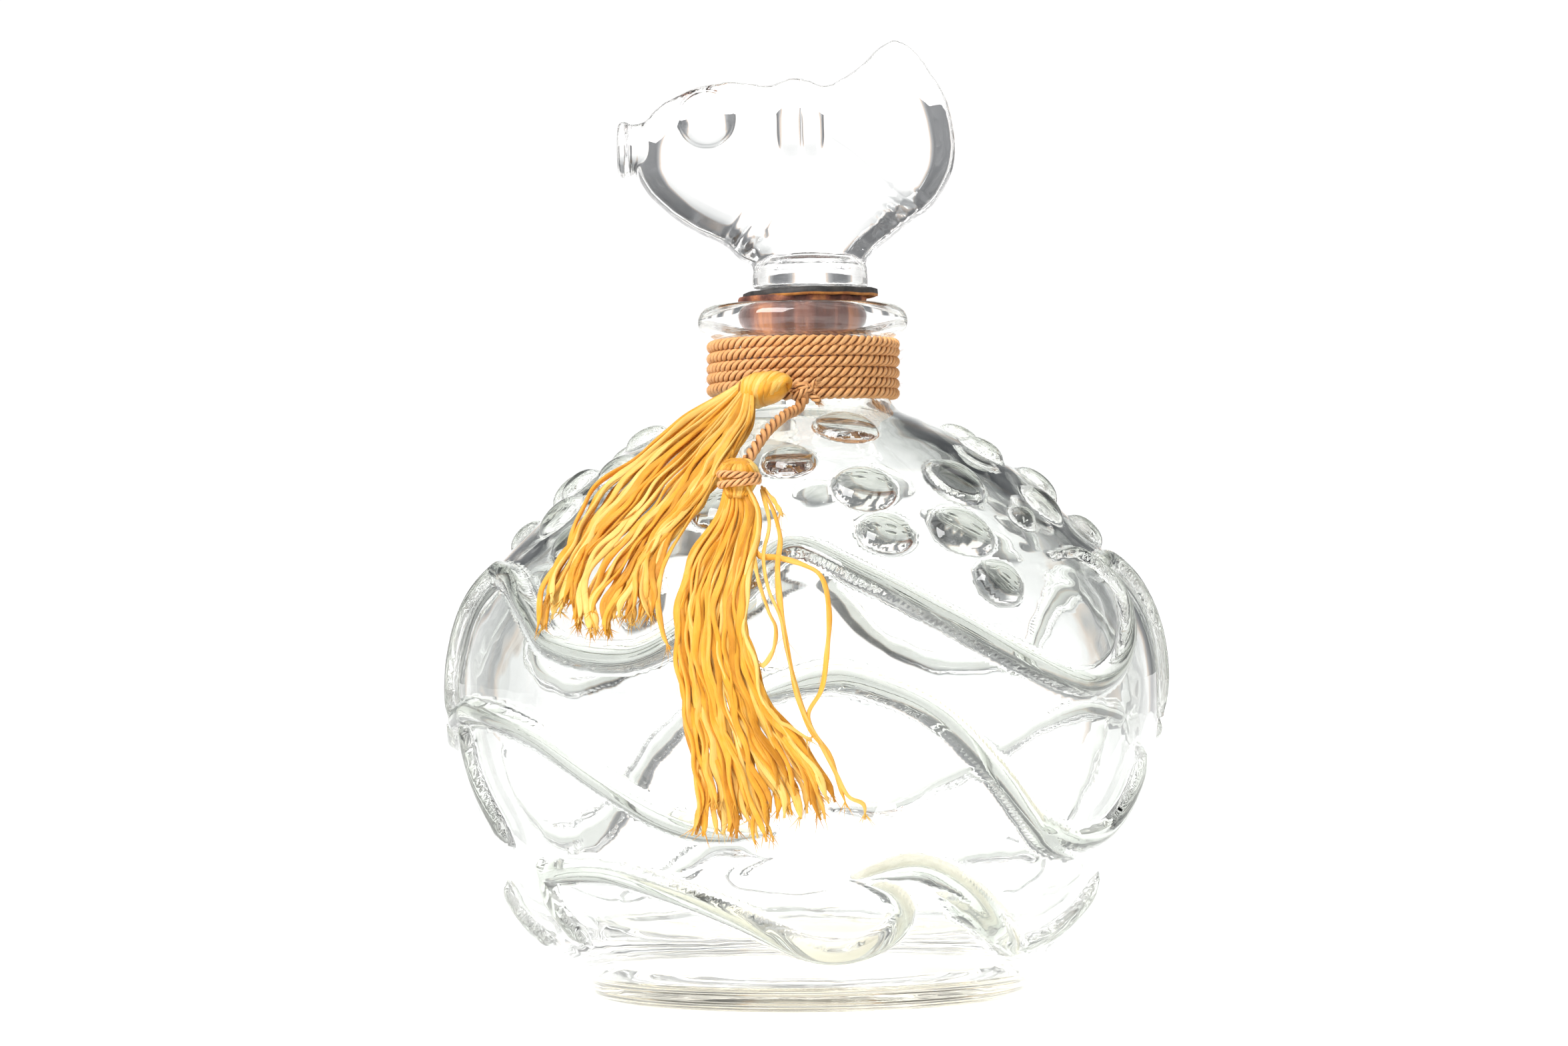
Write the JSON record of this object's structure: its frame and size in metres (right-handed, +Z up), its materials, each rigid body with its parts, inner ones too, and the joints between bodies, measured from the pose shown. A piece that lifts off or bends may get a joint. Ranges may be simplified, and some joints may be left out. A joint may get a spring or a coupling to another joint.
{
  "type": "stoppered perfume flacon",
  "caption": "Round pressed-glass perfume flacon with raised waves and bubbles, a cork-seated glass fish stopper, a cord-wound neck and hanging silk tassels.",
  "frame": {"origin": "centre of the foot's flat resting face", "axes": "+Z up along the neck, -Y towards the front where the tassels hang, +X to the right seen from the front"},
  "size_m": [0.1356, 0.1412, 0.1801],
  "materials": {
    "bottle_glass": "clear pressed glass with a faint grey-green tint where it is thick",
    "stopper_glass": "clear solid cast glass",
    "cork": "natural red-brown cork",
    "washer": "thin black seal",
    "tan_cord": "twisted tan-gold cord",
    "tassel_silk": "golden yellow silk floss"
  },
  "bodies": {
    "bottle": {"glass_bottle": "bottle_glass", "neck_cord": "tan_cord", "neck_knot": "tan_cord", "cord_tail_upper": "tan_cord", "cord_tail_lower": "tan_cord"},
    "stopper_cork": {"cork": "cork"},
    "stopper_fish": {"fish_stopper": "stopper_glass", "washer": "washer"},
    "tassel_a": {"tassel_a_head": "tassel_silk", "tassel_a_skirt": "tassel_silk", "tassel_a_stray_1": "tassel_silk"},
    "cord_swing": {"hanging_cord": "tan_cord"},
    "tassel_b": {"tassel_b_knot": "tan_cord", "tassel_b_skirt": "tassel_silk", "tassel_b_stray_1": "tassel_silk", "tassel_b_stray_2": "tassel_silk"}
  },
  "joints": [
    {"name": "stopper_lift", "type": "slide", "parent": "bottle", "child": "stopper_cork", "axis": [0, 0, 1], "range_m": [0, 0.045]},
    {"name": "stopper_twist", "type": "hinge", "parent": "stopper_cork", "child": "stopper_fish", "pos_m": [0.0015, 0, 0.126], "axis": [0, 0, 1], "continuous": true},
    {"name": "tassel_a_lift", "type": "hinge", "parent": "bottle", "child": "tassel_a", "pos_m": [-0.0077, -0.0213, 0.1131], "axis": [-0.8192, 0.5736, 0], "range_deg": [0, 60]},
    {"name": "cord_lift", "type": "hinge", "parent": "bottle", "child": "cord_swing", "pos_m": [-0.0002, -0.02065, 0.1123], "axis": [-0.9728, 0.2317, 0], "range_deg": [0, 40]},
    {"name": "tassel_b_sway", "type": "hinge", "parent": "cord_swing", "child": "tassel_b", "pos_m": [-0.01196, -0.05019, 0.09673], "axis": [-0.1859, -0.7806, 0.5967], "range_deg": [0, 10]}
  ]
}
